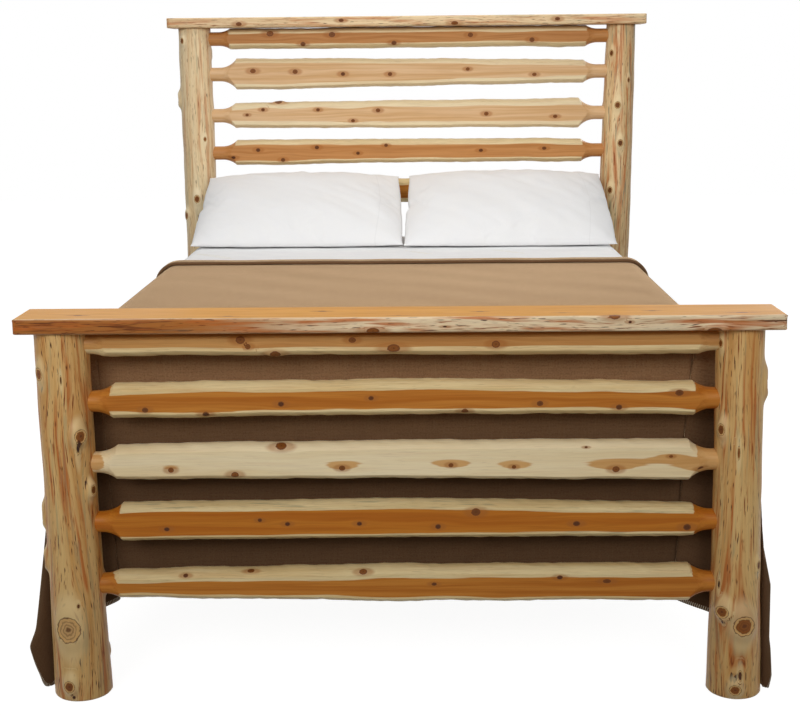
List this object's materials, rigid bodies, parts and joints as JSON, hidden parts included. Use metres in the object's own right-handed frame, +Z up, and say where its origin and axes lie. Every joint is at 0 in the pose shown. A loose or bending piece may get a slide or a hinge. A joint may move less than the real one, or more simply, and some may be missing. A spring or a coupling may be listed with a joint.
{
  "type": "rustic log bed",
  "caption": "Queen-size bed of peeled logs: tenoned log rails between round posts, plank caps, side rails on hook brackets, slats, mattress, blanket and pillows.",
  "frame": {"origin": "middle of the floor area that the bed covers, on the floor", "axes": "+Z up, +Y from the footboard to the headboard, +X to the right of someone who stands at the footboard and looks at the headboard"},
  "size_m": [1.8512, 2.371, 1.687],
  "materials": {
    "cedar_post": "satin",
    "cedar_rail": "satin",
    "cedar_cap": "satin",
    "cedar_side_rail": "satin",
    "pine_lumber": "matte",
    "bracket_steel": "satin",
    "glide_plastic": "matte",
    "mattress_ticking": "matte",
    "foundation_ticking": "matte",
    "white_cotton_sheet": "matte",
    "brown_wool_blanket": "matte",
    "white_cotton_pillow": "matte"
  },
  "bodies": {
    "bed": {"blanket": "brown_wool_blanket", "cap_tenons": "pine_lumber", "centre_beam": "pine_lumber", "centre_leg_1": "pine_lumber", "centre_leg_2": "pine_lumber", "centre_leg_3": "pine_lumber", "fitted_sheet": "white_cotton_sheet", "footboard_cap": "cedar_cap", "footboard_post_left": "cedar_post", "footboard_post_right": "cedar_post", "footboard_rail_1": "cedar_rail", "footboard_rail_2": "cedar_rail", "footboard_rail_3": "cedar_rail", "footboard_rail_4": "cedar_rail", "footboard_rail_5": "cedar_rail", "foundation": "foundation_ticking", "headboard_cap": "cedar_cap", "headboard_post_left": "cedar_post", "headboard_post_right": "cedar_post", "headboard_rail_1": "cedar_rail", "headboard_rail_2": "cedar_rail", "headboard_rail_3": "cedar_rail", "headboard_rail_4": "cedar_rail", "headboard_rail_5": "cedar_rail", "headboard_rail_6": "cedar_rail", "hook_plate_foot_left": "bracket_steel", "hook_plate_foot_right": "bracket_steel", "hook_plate_head_left": "bracket_steel", "hook_plate_head_right": "bracket_steel", "ledger_left": "pine_lumber", "ledger_right": "pine_lumber", "leg_glides": "glide_plastic", "mattress": "mattress_ticking", "post_plate_foot_left": "bracket_steel", "post_plate_foot_right": "bracket_steel", "post_plate_head_left": "bracket_steel", "post_plate_head_right": "bracket_steel", "side_rail_left": "cedar_side_rail", "side_rail_right": "cedar_side_rail", "slat_1": "pine_lumber", "slat_2": "pine_lumber", "slat_3": "pine_lumber", "slat_4": "pine_lumber", "slat_5": "pine_lumber"},
    "pillow_left": {"pillow_left": "white_cotton_pillow"},
    "pillow_right": {"pillow_right": "white_cotton_pillow"}
  },
  "joints": [
    {"name": "pillow_left_lift", "type": "slide", "parent": "bed", "child": "pillow_left", "axis": [0, 0, 1], "range_m": [0, 0.3]},
    {"name": "pillow_right_lift", "type": "slide", "parent": "bed", "child": "pillow_right", "axis": [0, 0, 1], "range_m": [0, 0.3]}
  ]
}
